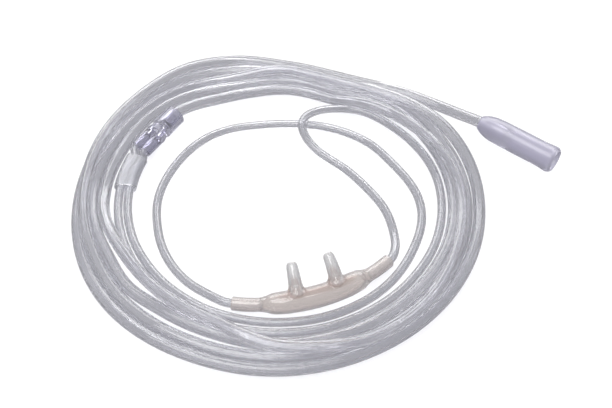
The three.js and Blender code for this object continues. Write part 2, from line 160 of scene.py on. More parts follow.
@dataclass(frozen=True)
class Layout:
    """The layout plane's place in the row frame."""

    turn: float = math.radians(38)

    def centre(self) -> np.ndarray:
        """Find the coil's centre on the surface.

        Returns:
            Its place in the row frame, in metres.
        """
        low, high = (np.array(corner, float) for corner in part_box("supply_coil"))
        middle = (low + high) / 2
        middle[2] = low[2]
        return middle

    def row(self, points: np.ndarray) -> np.ndarray:
        """Bring layout places into the row frame.

        Args:
            points: Places in the layout, in millimetres.

        Returns:
            The same places in the row frame, in metres.
        """
        c, s = math.cos(self.turn), math.sin(self.turn)
        rotation = np.array([[c, -s, 0], [s, c, 0], [0, 0, 1]])
        return np.asarray(points, float) @ rotation.T * MM + self.centre()


LAYOUT = Layout()


@dataclass(frozen=True)
class Place:
    """Where a fitting stands in the layout: its origin, heading and downward tilt in degrees."""

    x: float
    y: float
    z: float
    heading: float
    tilt: float = 0.0

    def put(self, points: np.ndarray) -> np.ndarray:
        """Bring a fitting's own places into the layout.

        Args:
            points: Places in the fitting, with its axis along X.

        Returns:
            The same places in the layout.
        """
        heading = Matrix.Rotation(math.radians(self.heading), 3, "Z")
        tilt = Matrix.Rotation(math.radians(self.tilt), 3, "Y")
        turn = np.array(heading @ tilt)
        return np.atleast_2d(np.asarray(points, float)) @ turn.T + [self.x, self.y, self.z]


def polar(radius: float, degrees: float, height: float) -> tuple[float, float, float]:
    """Give a layout place from its distance and angle round the coil's centre."""
    angle = math.radians(degrees)
    return (radius * math.cos(angle), radius * math.sin(angle), height)


@dataclass
class Shell:
    """A mesh in the making: vertices in millimetres, faces, and each vertex's (round, along) coordinate."""

    vertices: np.ndarray
    faces: list[tuple[int, ...]]
    coordinates: np.ndarray

    def joined(self, other: Shell) -> Shell:
        """Put two shells into one mesh.

        Args:
            other: The shell that is added.

        Returns:
            A shell with the faces of both.
        """
        shift = len(self.vertices)
        faces = self.faces + [tuple(i + shift for i in face) for face in other.faces]
        vertices = np.vstack([self.vertices, other.vertices])
        return Shell(vertices, faces, np.vstack([self.coordinates, other.coordinates]))

    def piece(self, name: str, smooth: bool = True) -> bpy.types.Object:
        """Make the Blender object, in the row frame, with the coordinates as its UV map.

        Args:
            name: The object's name.
            smooth: Whether its faces are shaded smooth.

        Returns:
            The new object.
        """
        mesh = bpy.data.meshes.new(name)
        mesh.from_pydata([tuple(v) for v in LAYOUT.row(self.vertices)], [], self.faces)
        layer = mesh.uv_layers.new(name="run")
        loops = np.empty(len(mesh.loops), dtype=np.int32)
        mesh.loops.foreach_get("vertex_index", loops)
        layer.data.foreach_set("uv", self.coordinates[loops].astype(np.float32).ravel())
        mesh.polygons.foreach_set("use_smooth", [smooth] * len(mesh.polygons))
        mesh.validate()
        obj = bpy.data.objects.new(name, mesh)
        bpy.context.scene.collection.objects.link(obj)
        return obj


def loft(rings: np.ndarray, along: np.ndarray, closed: bool, inward: bool = False) -> Shell:
    """Skin a row of rings.

    Args:
        rings: Vertices by ring and by place round the ring.
        along: Each ring's distance along the piece, for the coordinates.
        closed: Whether the last ring joins the first.
        inward: Whether the faces point to the rings' middle.

    Returns:
        The skin.
    """
    count, sides = rings.shape[:2]
    faces = []
    for i in range(count if closed else count - 1):
        here, there = i * sides, ((i + 1) % count) * sides
        for j in range(sides):
            k = (j + 1) % sides
            quad = (here + j, here + k, there + k, there + j)
            faces.append(quad[::-1] if inward else quad)
    around = np.abs(np.linspace(-1, 1, sides, endpoint=False))
    coordinates = np.stack([np.tile(around, count), np.repeat(along, sides)], axis=1)
    return Shell(rings.reshape(-1, 3), faces, coordinates)


def turned(profile: list[tuple[float, float]], segments: int, step: float = 0.35) -> Shell:
    """Turn a closed profile of (along, radius) points about +X.

    Args:
        profile: The corners of the wall's section, in order; it closes on itself.
        segments: The number of places round the axis.
        step: The most that two rings may lie apart.

    Returns:
        The turned wall.
    """
    loop = [*profile, profile[0]]
    fine = []
    for (x0, r0), (x1, r1) in zip(loop, loop[1:]):
        pieces = max(1, math.ceil(math.hypot(x1 - x0, r1 - r0) / step))
        fine += [(x0 + (x1 - x0) * i / pieces, r0 + (r1 - r0) * i / pieces) for i in range(pieces)]
    places = np.array(fine)
    angles = np.linspace(0, 2 * math.pi, segments, endpoint=False)
    rings = np.empty((len(places), segments, 3))
    rings[:, :, 0] = places[:, 0, None]
    rings[:, :, 1] = places[:, 1, None] * np.cos(angles)
    rings[:, :, 2] = places[:, 1, None] * np.sin(angles)
    return loft(rings, places[:, 0], closed=True)


def rounded(profile: list[tuple[float, float]], radius: float, steps: int = 4) -> list[tuple[float, float]]:
    """Round each corner of a closed profile with a short curve.

    Args:
        profile: The corners.
        radius: How far from its corner each curve starts, where the sides leave room for it.
        steps: The number of points on each curve, less one.

    Returns:
        The rounded profile.
    """
    result = []
    count = len(profile)
    for i, corner in enumerate(profile):
        corner_at = np.array(corner, float)
        ends = []
        for neighbour in (profile[i - 1], profile[(i + 1) % count]):
            way = np.array(neighbour, float) - corner_at
            length = float(np.linalg.norm(way))
            ends.append(corner_at + way / length * min(radius, 0.45 * length))
        for t in np.linspace(0, 1, steps + 1):
            place = (1 - t) ** 2 * ends[0] + 2 * t * (1 - t) * corner_at + t**2 * ends[1]
            result.append((float(place[0]), float(place[1])))
    return result


@dataclass(frozen=True)
class Vinyl:
    """A clear or cloudy vinyl finish.

    tint is the colour that each wall gives to light, clearness the share of light that passes through it,
    streak how strongly the drawing lines along a tube show, and cloud how uneven the wall's haze is.
    shade is the share of lamp light that a wall lets through. root and tip, where given, colour the feet and
    ends of what stands up from the body, between the heights below, in metres; the near-white tip is partly
    the thin vinyl's paleness and partly a painted highlight.
    """

    name: str
    slot: str
    tint: tuple[float, float, float]
    deep: tuple[float, float, float]
    roughness: float
    clearness: float
    ior: float = 1.53
    streak: float = 0.0
    streak_count: float = 5.0
    cloud: float = 0.3
    shade: float = 0.95
    root: tuple[float, float, float] | None = None
    tip: tuple[float, float, float] | None = None
    body_top: float = 0.0086
    root_height: float = 0.0096
    tip_height: float = 0.0112

    def material(self) -> bpy.types.Material:
        """Build the material.

        Returns:
            A glassy vinyl that lets lamp light and the surface's own light pass.
        """
        material = bpy.data.materials.new(self.name)
        material.use_nodes = True
        nodes, links = material.node_tree.nodes, material.node_tree.links
        nodes.clear()
        output = nodes.new("ShaderNodeOutputMaterial")
        wall = nodes.new("ShaderNodeBsdfPrincipled")
        wall.inputs["IOR"].default_value = self.ior
        wall.inputs["Transmission Weight"].default_value = self.clearness
        wall.inputs["Specular IOR Level"].default_value = 0.5
        haze = nodes.new("ShaderNodeGroup")
        haze.node_tree = vinyl_haze()
        haze.inputs["Tint"].default_value = (*self.tint, 1)
        haze.inputs["Deep"].default_value = (*self.deep, 1)
        haze.inputs["Cloud"].default_value = self.cloud
        haze.inputs["Roughness"].default_value = self.roughness
        haze.inputs["Streak"].default_value = self.streak
        haze.inputs["Streak Count"].default_value = self.streak_count
        colour = haze.outputs["Color"]
        if self.root and self.tip:
            colour = self.by_height(material, colour)
        links.new(colour, wall.inputs["Base Color"])
        links.new(haze.outputs["Roughness"], wall.inputs["Roughness"])
        clear = nodes.new("ShaderNodeBsdfTransparent")
        clear.inputs["Color"].default_value = (self.shade, self.shade, self.shade * 1.01, 1)
        light = nodes.new("ShaderNodeLightPath")
        either = nodes.new("ShaderNodeMath")
        either.operation = "MAXIMUM"
        links.new(light.outputs["Is Shadow Ray"], either.inputs[0])
        links.new(light.outputs["Is Diffuse Ray"], either.inputs[1])
        mix = nodes.new("ShaderNodeMixShader")
        links.new(either.outputs[0], mix.inputs[0])
        links.new(wall.outputs[0], mix.inputs[1])
        links.new(clear.outputs[0], mix.inputs[2])
        links.new(mix.outputs[0], output.inputs["Surface"])
        return material

    def by_height(self, material: bpy.types.Material, colour: bpy.types.NodeSocket) -> bpy.types.NodeSocket:
        """Colour the thick roots and the thin tips of what stands up from the body; the tips' near-white is
        partly their thin vinyl's paleness and partly a painted highlight.

        Args:
            material: The material in the making.
            colour: The body's own colour.

        Returns:
            The colour that changes with height.
        """
        nodes, links = material.node_tree.nodes, material.node_tree.links
        place = nodes.new("ShaderNodeTexCoord")
        split = nodes.new("ShaderNodeSeparateXYZ")
        links.new(place.outputs["Object"], split.inputs[0])
        # The second band paints the prongs' ends near-white: partly the thin vinyl's paleness, partly a
        # painted highlight.
        for low, high, paint in (
            (self.body_top, self.root_height, self.root), (self.root_height, self.tip_height, self.tip),
        ):
            share = nodes.new("ShaderNodeMapRange")
            share.inputs["From Min"].default_value = low
            share.inputs["From Max"].default_value = high
            links.new(split.outputs[2], share.inputs["Value"])
            blend = nodes.new("ShaderNodeMix")
            blend.data_type = "RGBA"
            links.new(share.outputs[0], blend.inputs[0])
            links.new(colour, blend.inputs[6])
            blend.inputs[7].default_value = (*paint, 1)
            colour = blend.outputs[2]
        return colour

    def dress(self, obj: bpy.types.Object, body: str = FIXED_BODY) -> bpy.types.Object:
        """Give a piece this finish and its body.

        Args:
            obj: The piece.
            body: The moving body that it belongs to.

        Returns:
            The same piece.
        """
        obj.data.materials.clear()
        obj.data.materials.append(bpy.data.materials.get(self.name) or self.material())
        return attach(obj, body)


def vinyl_haze() -> bpy.types.NodeTree:
    """Give the shared vinyl group: uneven tint and haze, and drawing lines along the run.

    Returns:
        The node group, built once.
    """
    known = bpy.data.node_groups.get("vinyl_haze")
    if known:
        return known
    tree = bpy.data.node_groups.new("vinyl_haze", "ShaderNodeTree")
    face = tree.interface
    for name in ("Tint", "Deep"):
        face.new_socket(name, in_out="INPUT", socket_type="NodeSocketColor")
    for name in ("Cloud", "Roughness", "Streak", "Streak Count"):
        face.new_socket(name, in_out="INPUT", socket_type="NodeSocketFloat")
    face.new_socket("Color", in_out="OUTPUT", socket_type="NodeSocketColor")
    face.new_socket("Roughness", in_out="OUTPUT", socket_type="NodeSocketFloat")
    nodes, links = tree.nodes, tree.links
    given = nodes.new("NodeGroupInput")
    result = nodes.new("NodeGroupOutput")
    place = nodes.new("ShaderNodeTexCoord")
    run = nodes.new("ShaderNodeUVMap")
    run.uv_map = "run"

    def math_node(kind: str, first: object, second: object) -> bpy.types.NodeSocket:
        """Add one arithmetic node.

        Args:
            kind: The operation.
            first: The first input, a socket or a number.
            second: The second input, a socket or a number.

        Returns:
            The node's result.
        """
        node = nodes.new("ShaderNodeMath")
        node.operation = kind
        for socket, value in zip(node.inputs, (first, second)):
            if isinstance(value, bpy.types.NodeSocket):
                links.new(value, socket)
            else:
                socket.default_value = value
        return node.outputs[0]

    cloud = nodes.new("ShaderNodeTexNoise")
    cloud.inputs["Scale"].default_value = 90.0
    cloud.inputs["Detail"].default_value = 3.0
    links.new(place.outputs["Object"], cloud.inputs["Vector"])
    split = nodes.new("ShaderNodeSeparateXYZ")
    links.new(run.outputs["UV"], split.inputs[0])
    joined = nodes.new("ShaderNodeCombineXYZ")
    links.new(math_node("MULTIPLY", split.outputs[0], given.outputs["Streak Count"]), joined.inputs[0])
    links.new(math_node("MULTIPLY", split.outputs[1], 0.02), joined.inputs[1])
    lines = nodes.new("ShaderNodeTexNoise")
    lines.inputs["Scale"].default_value = 1.0
    lines.inputs["Detail"].default_value = 2.0
    links.new(joined.outputs[0], lines.inputs["Vector"])
    drawn = math_node("MULTIPLY", math_node("SUBTRACT", lines.outputs[0], 0.5), given.outputs["Streak"])
    uneven = math_node("MULTIPLY", math_node("SUBTRACT", cloud.outputs[0], 0.35), given.outputs["Cloud"])
    amount = math_node("ADD", math_node("MULTIPLY", uneven, 1.6), math_node("MULTIPLY", drawn, 1.8))
    blend = nodes.new("ShaderNodeMix")
    blend.data_type = "RGBA"
    blend.clamp_factor = True
    links.new(amount, blend.inputs[0])
    links.new(given.outputs["Tint"], blend.inputs[6])
    links.new(given.outputs["Deep"], blend.inputs[7])
    links.new(blend.outputs[2], result.inputs["Color"])
    rough = math_node("ADD", given.outputs["Roughness"], math_node("MULTIPLY", uneven, 0.12))
    links.new(math_node("MAXIMUM", rough, 0.01), result.inputs["Roughness"])
    return tree


TUBE_VINYL = Vinyl(
    "clear_tube_vinyl", "clear_tube", tint=(0.89, 0.89, 0.91), deep=(0.68, 0.68, 0.745),
    roughness=0.05, clearness=0.94, streak=0.7, cloud=0.05,
)
YOKE_ACRYLIC = Vinyl(
    "yoke_acrylic", "clear_yoke", tint=(0.76, 0.75, 0.85), deep=(0.58, 0.56, 0.71),
    roughness=0.03, clearness=0.97, cloud=0.1,
)
SLEEVE_VINYL = Vinyl(
    "sleeve_vinyl", "frosted_sleeve", tint=(0.82, 0.825, 0.85), deep=(0.75, 0.755, 0.785),
    roughness=0.24, clearness=0.92,
)
# The near-white tip colour is partly the thin vinyl's paleness and partly a painted highlight on the prongs.
FACE_VINYL = Vinyl(
    "face_vinyl", "soft_vinyl", tint=(0.89, 0.84, 0.81), deep=(0.77, 0.70, 0.66),
    roughness=0.08, clearness=0.80, cloud=0.25, root=(0.55, 0.38, 0.33), tip=(0.99, 0.985, 0.98),
)
MARK_VINYL = Vinyl(
    "mark_vinyl", "soft_vinyl", tint=(0.36, 0.30, 0.31), deep=(0.30, 0.25, 0.26),
    roughness=0.2, clearness=0.3,
)
SOCKET_VINYL = Vinyl(
    "socket_vinyl", "lavender_vinyl", tint=(0.68, 0.665, 0.77), deep=(0.58, 0.565, 0.69),
    roughness=0.2, clearness=0.66,
)


@dataclass
class Tube:
    """A hollow vinyl tube along a path: its outer and inner walls and its two cut ends.

    A star bore has ribs that stand into it by rib_depth, a share of its radius, with rib_sides faces to
    each, and they turn about the path by twist, in turns for each millimetre.
    """

    path: np.ndarray
    diameter: float
    bore: float
    lumen: Lumen
    sides: int = 28
    rib_sides: int = 7
    rib_depth: float = 0.13
    twist: float = 1 / 900.0

    def ring(self, angles: np.ndarray, radii: np.ndarray, turns: np.ndarray) -> np.ndarray:
        """Lay one ring of radii round every point of the path.

        Args:
            angles: The places round the tube.
            radii: The wall's distance from the middle at each of them.
            turns: How far each ring is turned about the path.

        Returns:
            Vertices by ring and place.
        """
        _, side, over = frames(self.path)
        around = angles[None, :] + turns[:, None]
        x = (radii * np.cos(around))[:, :, None] * side[:, None, :]
        y = (radii * np.sin(around))[:, :, None] * over[:, None, :]
        return self.path[:, None, :] + x + y

    def build(self, name: str) -> bpy.types.Object:
        """Make the tube.

        Args:
            name: The object's name.

        Returns:
            The new object.
        """
        along = distances(self.path)
        outer_angles = np.linspace(0, 2 * math.pi, self.sides, endpoint=False)
        outer = self.ring(outer_angles, np.full(self.sides, self.diameter / 2), np.zeros(len(along)))
        ribs = self.lumen.value
        inner_sides = self.rib_sides * ribs if ribs else self.sides
        inner_angles = np.linspace(0, 2 * math.pi, inner_sides, endpoint=False)
        radii = np.full(inner_sides, self.bore / 2)
        if ribs:
            radii = self.bore / 2 * (1 - self.rib_depth * (1 + np.cos(ribs * inner_angles)) / 2)
        inner = self.ring(inner_angles, radii, 2 * math.pi * self.twist * along)
        shell = loft(outer, along, closed=False).joined(loft(inner, along, closed=False, inward=True))
        first_inner = len(along) * self.sides
        for ring, flip in ((0, True), (len(along) - 1, False)):
            rim = self.rim(ring * self.sides, first_inner + ring * inner_sides, inner_sides)
            shell.faces += [face[::-1] for face in rim] if flip else rim
        return shell.piece(name)

    def rim(self, outer: int, inner: int, inner_sides: int) -> list[tuple[int, ...]]:
        """Close one cut end between the outer and the inner wall.

        Args:
            outer: The outer ring's first vertex.
            inner: The inner ring's first vertex.
            inner_sides: The number of vertices in the inner ring.

        Returns:
            Triangles that face forwards along the path.
        """
        faces = []
        a = b = 0
        while a < self.sides or b < inner_sides:
            if b == inner_sides or (a < self.sides and (a + 1) / self.sides <= (b + 1) / inner_sides):
                faces.append((outer + a % self.sides, outer + (a + 1) % self.sides, inner + b % inner_sides))
                a += 1
            else:
                faces.append((outer + a % self.sides, inner + (b + 1) % inner_sides, inner + b % inner_sides))
                b += 1
        return faces


@dataclass
class Yoke:
    """The clear Y fitting that joins the two headset tubes to the supply tube."""

    length: float = 25.0
    tilt: float = 4.0
    bulge_at: float = 14.5
    bulge_radius: float = 4.9
    collar_radius: float = 4.8
    collar_length: float = 10.5
    waist_radius: float = 4.1
    twin_radius: float = 2.75
    twin_spacing: float = 4.9
    supply_depth: float = 8.5
    twin_depth: float = 8.0
    supply_bore_radius: float = 2.85
    twin_bore_radius: float = 2.1
    way_radius: float = 1.1
    at: tuple[float, float] = (-47.9, 45.6)
    heading: float = -125.0

    def place(self) -> Place:
        """Give the yoke's place, resting on its bulge."""
        height = self.bulge_radius + REST_GAP + self.bulge_at * math.sin(math.radians(self.tilt))
        return Place(*self.at, height, self.heading, self.tilt)

    def twin(self, side: Side, depth: float) -> np.ndarray:
        """Give a layout place this deep on a headset socket's axis; side LEFT is the coil's inner one."""
        y = -side.value * self.twin_spacing / 2
        return self.place().put([self.length - depth, y, 0])[0]

    def supply(self, depth: float) -> np.ndarray:
        """Give a layout place on the supply socket's axis, this deep in it."""
        return self.place().put([depth, 0, 0])[0]

    def collar(self) -> Shell:
        """Make the collar and the bulge.

        Returns:
            A closed turned form.
        """
        end = self.bulge_at + 2.6
        return turned(rounded([
            (0, NEAR_AXIS), (0, self.collar_radius), (self.collar_length, self.collar_radius),
            (self.collar_length + 0.7, self.waist_radius), (self.bulge_at - 1.8, self.bulge_radius - 0.4),
            (self.bulge_at - 0.3, self.bulge_radius + 0.1), (self.bulge_at + 1.2, self.bulge_radius - 0.3),
            (end, 0.45 * self.bulge_radius), (end, NEAR_AXIS),
        ], 0.35), 56)

    def barrel(self, side: Side) -> Shell:
        """Make one headset socket's barrel.

        Args:
            side: The headset tube that it holds.

        Returns:
            A closed turned form.
        """
        barrel = turned(rounded([
            (self.bulge_at, NEAR_AXIS), (self.bulge_at, self.twin_radius), (self.length, self.twin_radius),
            (self.length, NEAR_AXIS),
        ], 0.25), 36)
        barrel.vertices[:, 1] += -side.value * self.twin_spacing / 2
        return barrel

    def hollows(self, side: Side) -> list[Shell]:
        """Make what is cut out for one headset tube.

        Args:
            side: The headset tube.

        Returns:
            Its socket's bore and the narrow way from there to the supply tube's.
        """
        y = -side.value * self.twin_spacing / 2
        deep, near = self.length - self.twin_depth, self.supply_depth - 1
        bore = turned([
            (deep, NEAR_AXIS), (deep, self.twin_bore_radius), (self.length + 1, self.twin_bore_radius),
            (self.length + 1, NEAR_AXIS),
        ], 30)
        way = turned([
            (near, NEAR_AXIS), (near, self.way_radius), (deep + 1, self.way_radius), (deep + 1, NEAR_AXIS),
        ], 20)
        bore.vertices[:, 1] += y
        lean = (way.vertices[:, 0] - near) / (deep + 1 - near)
        way.vertices[:, 1] += y * (0.3 + 0.7 * lean)
        return [bore, way]

    def build(self) -> bpy.types.Object:
        """Make the yoke: a turned collar and bulge, two barrels, and the bores through them.

        Returns:
            The dressed piece.
        """
        bodies = [self.collar(), *(self.barrel(side) for side in Side)]
        bores = [turned([
            (-1, NEAR_AXIS), (-1, self.supply_bore_radius), (self.supply_depth, self.supply_bore_radius),
            (self.supply_depth, NEAR_AXIS),
        ], 41)]
        for side in Side:
            bores += self.hollows(side)
        piece = assembled("clear_yoke", bodies, bores, self.place())
        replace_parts(YOKE_ACRYLIC.dress(piece), "yoke")
        return piece


def fused(name: str, shell: Shell, place: Place, voxel: float, soft: int) -> bpy.types.Object:
    """Fuse overlapping closed shells into one skin with soft joins.

    Args:
        name: The object's name.
        shell: The overlapping shells, in the fitting's own millimetres.
        place: Where the fitting stands.
        voxel: The skin's grid, in millimetres.
        soft: How often the skin is smoothed.

    Returns:
        The fused object, in the row frame.
    """
    shell.vertices = place.put(shell.vertices)
    obj = shell.piece(name)
    remesh = obj.modifiers.new("fuse", "REMESH")
    remesh.mode = "VOXEL"
    remesh.voxel_size = voxel * MM
    soften = obj.modifiers.new("soften", "SMOOTH")
    soften.factor = 0.5
    soften.iterations = soft
    return obj


def mirrored(half: list[tuple[float, float]], length: float) -> list[tuple[float, float]]:
    """Complete a symmetrical piece's (along, radius) pairs from those of its first half."""
    return half + [(length - along, radius) for along, radius in reversed(half)]


def applied(obj: bpy.types.Object) -> bpy.types.Object:
    """Turn a piece's modifiers into its mesh.

    Args:
        obj: The piece.

    Returns:
        The same piece with no modifiers left.
    """
    bpy.context.view_layer.update()
    result = bpy.data.meshes.new_from_object(obj.evaluated_get(bpy.context.evaluated_depsgraph_get()))
    old = obj.data
    obj.modifiers.clear()
    obj.data = result
    bpy.data.meshes.remove(old)
    obj.data.polygons.foreach_set("use_smooth", [True] * len(obj.data.polygons))
    return obj


def carved(name: str, body: Shell, bores: Shell, place: Place, voxel: float, soft: int) -> bpy.types.Object:
    """Fuse a body, fuse what is hollow in it, and cut the one from the other.

    Args:
        name: The object's name.
        body: The closed shells of the outer form.
        bores: The closed shells of the hollow.
        place: Where the fitting stands.
        voxel: The skins' grid, in millimetres.
        soft: How often the skins are smoothed.

    Returns:
        The hollow piece.
    """
    piece = applied(fused(name, body, place, voxel, soft))
    cutter = applied(fused(name + "_hollow", bores, place, voxel, soft))
    cut = piece.modifiers.new("hollow", "BOOLEAN")
    cut.operation = "DIFFERENCE"
    cut.solver = "MANIFOLD"
    cut.object = cutter
    applied(piece)
    bpy.data.objects.remove(cutter)
    return piece


def assembled(name: str, bodies: list[Shell], bores: list[Shell], place: Place) -> bpy.types.Object:
    """Join closed forms with crisp edges and cut the bores out of them.

    Args:
        name: The object's name.
        bodies: The closed shells that make the outer form.
        bores: The closed shells that are cut out.
        place: Where the fitting stands.

    Returns:
        The hollow piece, shaded smooth except at its edges.
    """
    piece = None
    for operation, shells in (("UNION", bodies), ("DIFFERENCE", bores)):
        for shell in shells:
            shell.vertices = place.put(shell.vertices)
            other = shell.piece(name + "_form")
            if piece is None:
                piece = other
                piece.name = name
                continue
            step = piece.modifiers.new("step", "BOOLEAN")
            step.operation = operation
            step.solver = "MANIFOLD"
            step.object = other
            applied(piece)
            bpy.data.objects.remove(other)
    piece.data.set_sharp_from_angle(angle=math.radians(32))
    return piece


@dataclass
class OxygenConnector:
    """The lavender socket at the supply tube's far end."""

    length: float = 38.5
    tube_end_radius: float = 3.4
    barrel_radius: float = 5.75
    rim_radius: float = 6.05
    tube_depth: float = 13.5
    bore_radius: float = 3.8
    mouth_radius: float = 4.4
    tube_bore_radius: float = 2.75
    way_radius: float = 1.9
    at: tuple[float, float] = (92.0, 40.3)
    heading: float = -38.0

    def place(self) -> Place:
        """Give the connector's place, lying on its rim, pointing along the row's +X."""
        return Place(*self.at, self.rim_radius, self.heading)

    def axis(self, depth: float) -> np.ndarray:
        """Give a layout place on the axis, this far in from the tube end."""
        return self.place().put([depth, 0, 0])[0]

    def build(self) -> bpy.types.Object:
        """Make the connector as one turned wall.

        Returns:
            The dressed piece.
        """
        rim, start = self.length, self.tube_end_radius
        swell = self.barrel_radius - start
        outer = spline(np.array([
            (0.35, start), (2.5, start + 0.45 * swell), (5.2, start + 0.78 * swell),
            (9.0, start + 0.95 * swell), (14.0, self.barrel_radius - 0.05), (24.0, self.barrel_radius),
            (rim - 6, self.barrel_radius + 0.02),
            (rim - 3.6, self.rim_radius - 0.08), (rim - 2.1, self.rim_radius),
            (rim - 0.9, self.rim_radius - 0.3), (rim - 0.25, self.rim_radius - 0.8),
        ]), 0.5)
        stop = self.tube_depth + 0.3
        inner = [
            (rim, self.rim_radius - 1.15), (rim, self.mouth_radius + 0.3), (rim - 0.4, self.mouth_radius),
            (rim - 2.5, self.bore_radius + 0.25), (stop + 2.2, self.bore_radius),
            (stop + 1.2, self.way_radius), (stop, self.way_radius),
            (stop, self.tube_bore_radius), (0.25, self.tube_bore_radius),
            (0, self.tube_bore_radius + 0.2), (0, start - 0.25),
        ]
        shell = turned([*(tuple(p) for p in outer), *inner], 64, 0.5)
        shell.vertices = self.place().put(shell.vertices)
        piece = shell.piece("lavender_connector")
        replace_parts(SOCKET_VINYL.dress(piece), "oxygen_connector")
        return piece


@dataclass
class NasalProngPiece:
    """The soft bowed facepiece with two curved prongs and a tube socket at each end."""

    span: float = 66.8
    bow: float = 8.5
    radius: float = 4.6
    wall: float = 0.95
    socket_radius: float = 2.8
    socket_length: float = 12.5
    socket_bore_radius: float = 2.05
    stop_bore_radius: float = 1.5
    shoulder: float = 5.0
    end_height: float = 3.1
    prong_spacing: float = 16.8
    prong_root: float = 2.7
    prong_tip: float = 2.25
    prong_bore: float = 1.6
    prong_reach: float = 11.3
    prong_rise: float = 10.4
    prong_elbow: tuple[float, float] = (0.27, 0.68)
    prong_toe_in: float = 0.9
    voxel: float = 0.26
    soft: int = 6
    mark_from_end: float = 16.0
    mark_angle: float = 116.0
    mark_size: tuple[float, float] = (0.8, 1.3)
    mark_bead: float = 0.13
    place: Place = Place(14.4, -45.9, 0.0, 18.3)

    def axis(self) -> np.ndarray:
        """Run the body's centre line.

        Returns:
            Its places in the piece's own millimetres, from the left socket's mouth to the right one's.
        """
        half = self.span / 2
        bow_radius = (half**2 + self.bow**2) / (2 * self.bow)
        reach = math.asin(half / bow_radius)
        height = self.radius + REST_GAP
        points = []
        for i in range(-6, 7):
            share = min(max((abs(i) - 2) / 4, 0), 1)
            drop = (height - self.end_height) * share * share * (3 - 2 * share)
            angle = reach * i / 6
            y = bow_radius - self.bow - bow_radius * math.cos(angle)
            points.append((bow_radius * math.sin(angle), y, height - drop))
        return spline(np.array(points), 0.4)

    def socket(self, side: Side, depth: float) -> np.ndarray:
        """Find a place on a socket's axis.

        Args:
            side: The socket.
            depth: How deep the place lies in it, or how far straight out of it where this is negative.

        Returns:
            The place in the layout.
        """
        line = self.axis() if side is Side.LEFT else self.axis()[::-1]
        if depth < 0:
            way = line[0] - line[1]
            point = line[0] - way / np.linalg.norm(way) * depth
        else:
            inward = distances(line)
            point = np.array([np.interp(depth, inward, line[:, k]) for k in range(3)])
        return self.place.put(point)[0]

    def rod(self, line: np.ndarray, radii: list[tuple[float, float]], sides: int = 40) -> Shell:
        """Make a closed round bar along a line.

        Args:
            line: The bar's centre line.
            radii: (distance along, radius) pairs that the bar swells and narrows through.
            sides: The number of places round it.

        Returns:
            The closed bar.
        """
        along = distances(line)
        sizes = np.interp(along, *zip(*radii))
        _, side, over = frames(line)
        angles = np.linspace(0, 2 * math.pi, sides, endpoint=False)
        across = (sizes[:, None] * np.cos(angles))[:, :, None] * side[:, None, :]
        up = (sizes[:, None] * np.sin(angles))[:, :, None] * over[:, None, :]
        shell = loft(line[:, None, :] + across + up, along, closed=False)
        last = (len(line) - 1) * sides
        shell.faces.append(tuple(reversed(range(sides))))
        shell.faces.append(tuple(last + j for j in range(sides)))
        return shell

    def prong(self, side: Side) -> np.ndarray:
        """Run a prong's centre line.

        Args:
            side: The prong.

        Returns:
            Its places, from the body's own centre line to the tip.
        """
        line = self.axis()
        root = line[np.argmin(np.abs(line[:, 0] - side.value * self.prong_spacing / 2))]
        out, up = self.prong_elbow
        elbow = root + [0, out * self.prong_reach, up * self.prong_rise]
        tip = root + [-self.prong_toe_in * side.value, self.prong_reach, self.prong_rise]
        t = np.linspace(0, 1, 60)[:, None]
        return (1 - t) ** 2 * root + 2 * t * (1 - t) * elbow + t**2 * tip

    def outline(self) -> list[tuple[float, float]]:
        """Shape the body from end to end.

        Returns:
            Its (along, radius) pairs, from the left socket's mouth to the right one's.
        """
        start, narrow = self.socket_length, self.socket_radius
        swell = self.radius - narrow
        near = [
            (0, narrow - 0.1), (0.4, narrow), (start - 1, narrow),
            (start + 1.5, narrow + 0.32 * swell), (start + 3.4, narrow + 0.72 * swell),
            (start + self.shoulder, self.radius - 0.25), (start + self.shoulder + 4, self.radius),
        ]
        return mirrored(near, run_length(self.axis()))

    def skin(self, along: np.ndarray, angle: np.ndarray, lift: np.ndarray) -> np.ndarray:
        """Give places on the body's outside.

        Args:
            along: Distances from the left socket's mouth.
            angle: Angles round the body, from its far side over its top.
            lift: How far each place stands off the surface.

        Returns:
            The places, in the piece's own millimetres.
        """
        line = self.axis()
        _, side, over = frames(line)
        run = distances(line)
        centre, across, up = (
            np.stack([np.interp(along, run, row[:, k]) for k in range(3)], axis=-1)
            for row in (line, side, over)
        )
        radius = np.interp(along, *zip(*self.outline())) + lift
        sideways, upwards = radius * np.cos(angle), radius * np.sin(angle)
        return centre + sideways[..., None] * across + upwards[..., None] * up

    def body(self) -> tuple[Shell, Shell]:
        """Make the outer form and the hollow in it.

        Returns:
            The closed shells of both, overlapping where they join.
        """
        line = self.axis()
        start, room, bore_radius = self.socket_length, self.radius - self.wall, self.socket_bore_radius
        within = [
            (0, bore_radius), (start, bore_radius), (start + 0.3, self.stop_bore_radius),
            (start + self.shoulder - 1, room - 0.7), (start + self.shoulder + 4, room),
        ]
        outer = self.rod(line, self.outline())
        ends = [line[0] - (line[1] - line[0]) * 3, line[-1] + (line[-1] - line[-2]) * 3]
        inner = self.rod(np.vstack([ends[0], line, ends[1]]), mirrored(within, run_length(line)))
        for side in Side:
            curve = self.prong(side)
            reach = run_length(curve)
            root, foot, tip = self.radius, self.prong_root, self.prong_tip
            stem = self.rod(curve, [
                (0, foot), (root - 0.6, foot + 1.5), (root + 0.5, foot + 0.7), (root + 1.6, foot + 0.2),
                (root + 3, foot), (reach - 2.5, tip + 0.1), (reach - 1.5, tip), (reach - 0.8, tip - 0.2),
                (reach - 0.3, tip - 0.45), (reach, tip - 0.75),
            ], 32)
            out = curve[-1] + (curve[-1] - curve[-2]) * 6
            bore = self.rod(np.vstack([curve, out]), [(0, self.prong_bore), (reach + 3, self.prong_bore)], 24)
            outer = outer.joined(stem)
            inner = inner.joined(bore)
        return outer, inner

